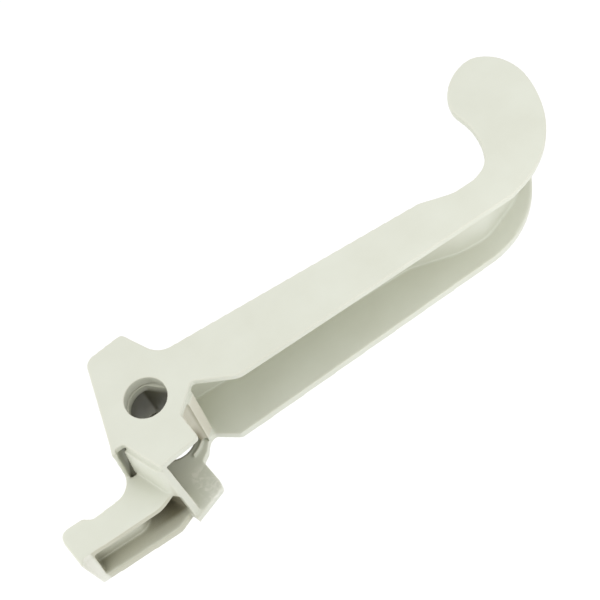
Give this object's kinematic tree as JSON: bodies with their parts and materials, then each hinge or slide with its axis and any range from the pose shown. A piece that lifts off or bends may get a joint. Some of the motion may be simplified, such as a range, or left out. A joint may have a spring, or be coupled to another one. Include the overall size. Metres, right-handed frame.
{
  "type": "stair gate latch lever",
  "caption": "Moulded channel lever for a stair gate latch: keyed pivot bore, claw with striker pocket, and a tapering arm that ends in a finger hook.",
  "frame": {"origin": "on the pivot axis, in the plane of the rear face", "axes": "+X along the arm from the pivot to the finger hook; +Y towards the side that the finger pulls from; +Z along the pivot axis, out of the front face"},
  "size_m": [0.1531, 0.0523, 0.025],
  "materials": {
    "moulded_plastic": "satin light grey-ivory injection-moulded plastic, smooth with faint flow marks"
  },
  "bodies": {
    "root": {"front_plate": "moulded_plastic", "pivot_boss": "moulded_plastic", "pivot_sleeve": "moulded_plastic", "sleeve_rib": "moulded_plastic", "channel_rib": "moulded_plastic", "rib_gusset": "moulded_plastic", "head_side_wall": "moulded_plastic", "crown_wall": "moulded_plastic", "tab_wall": "moulded_plastic", "head_base": "moulded_plastic", "rear_lip": "moulded_plastic", "arm_web": "moulded_plastic", "arm_cheek": "moulded_plastic", "claw_face": "moulded_plastic", "claw_web": "moulded_plastic", "claw_end_wall": "moulded_plastic", "claw_base": "moulded_plastic"}
  },
  "joints": []
}
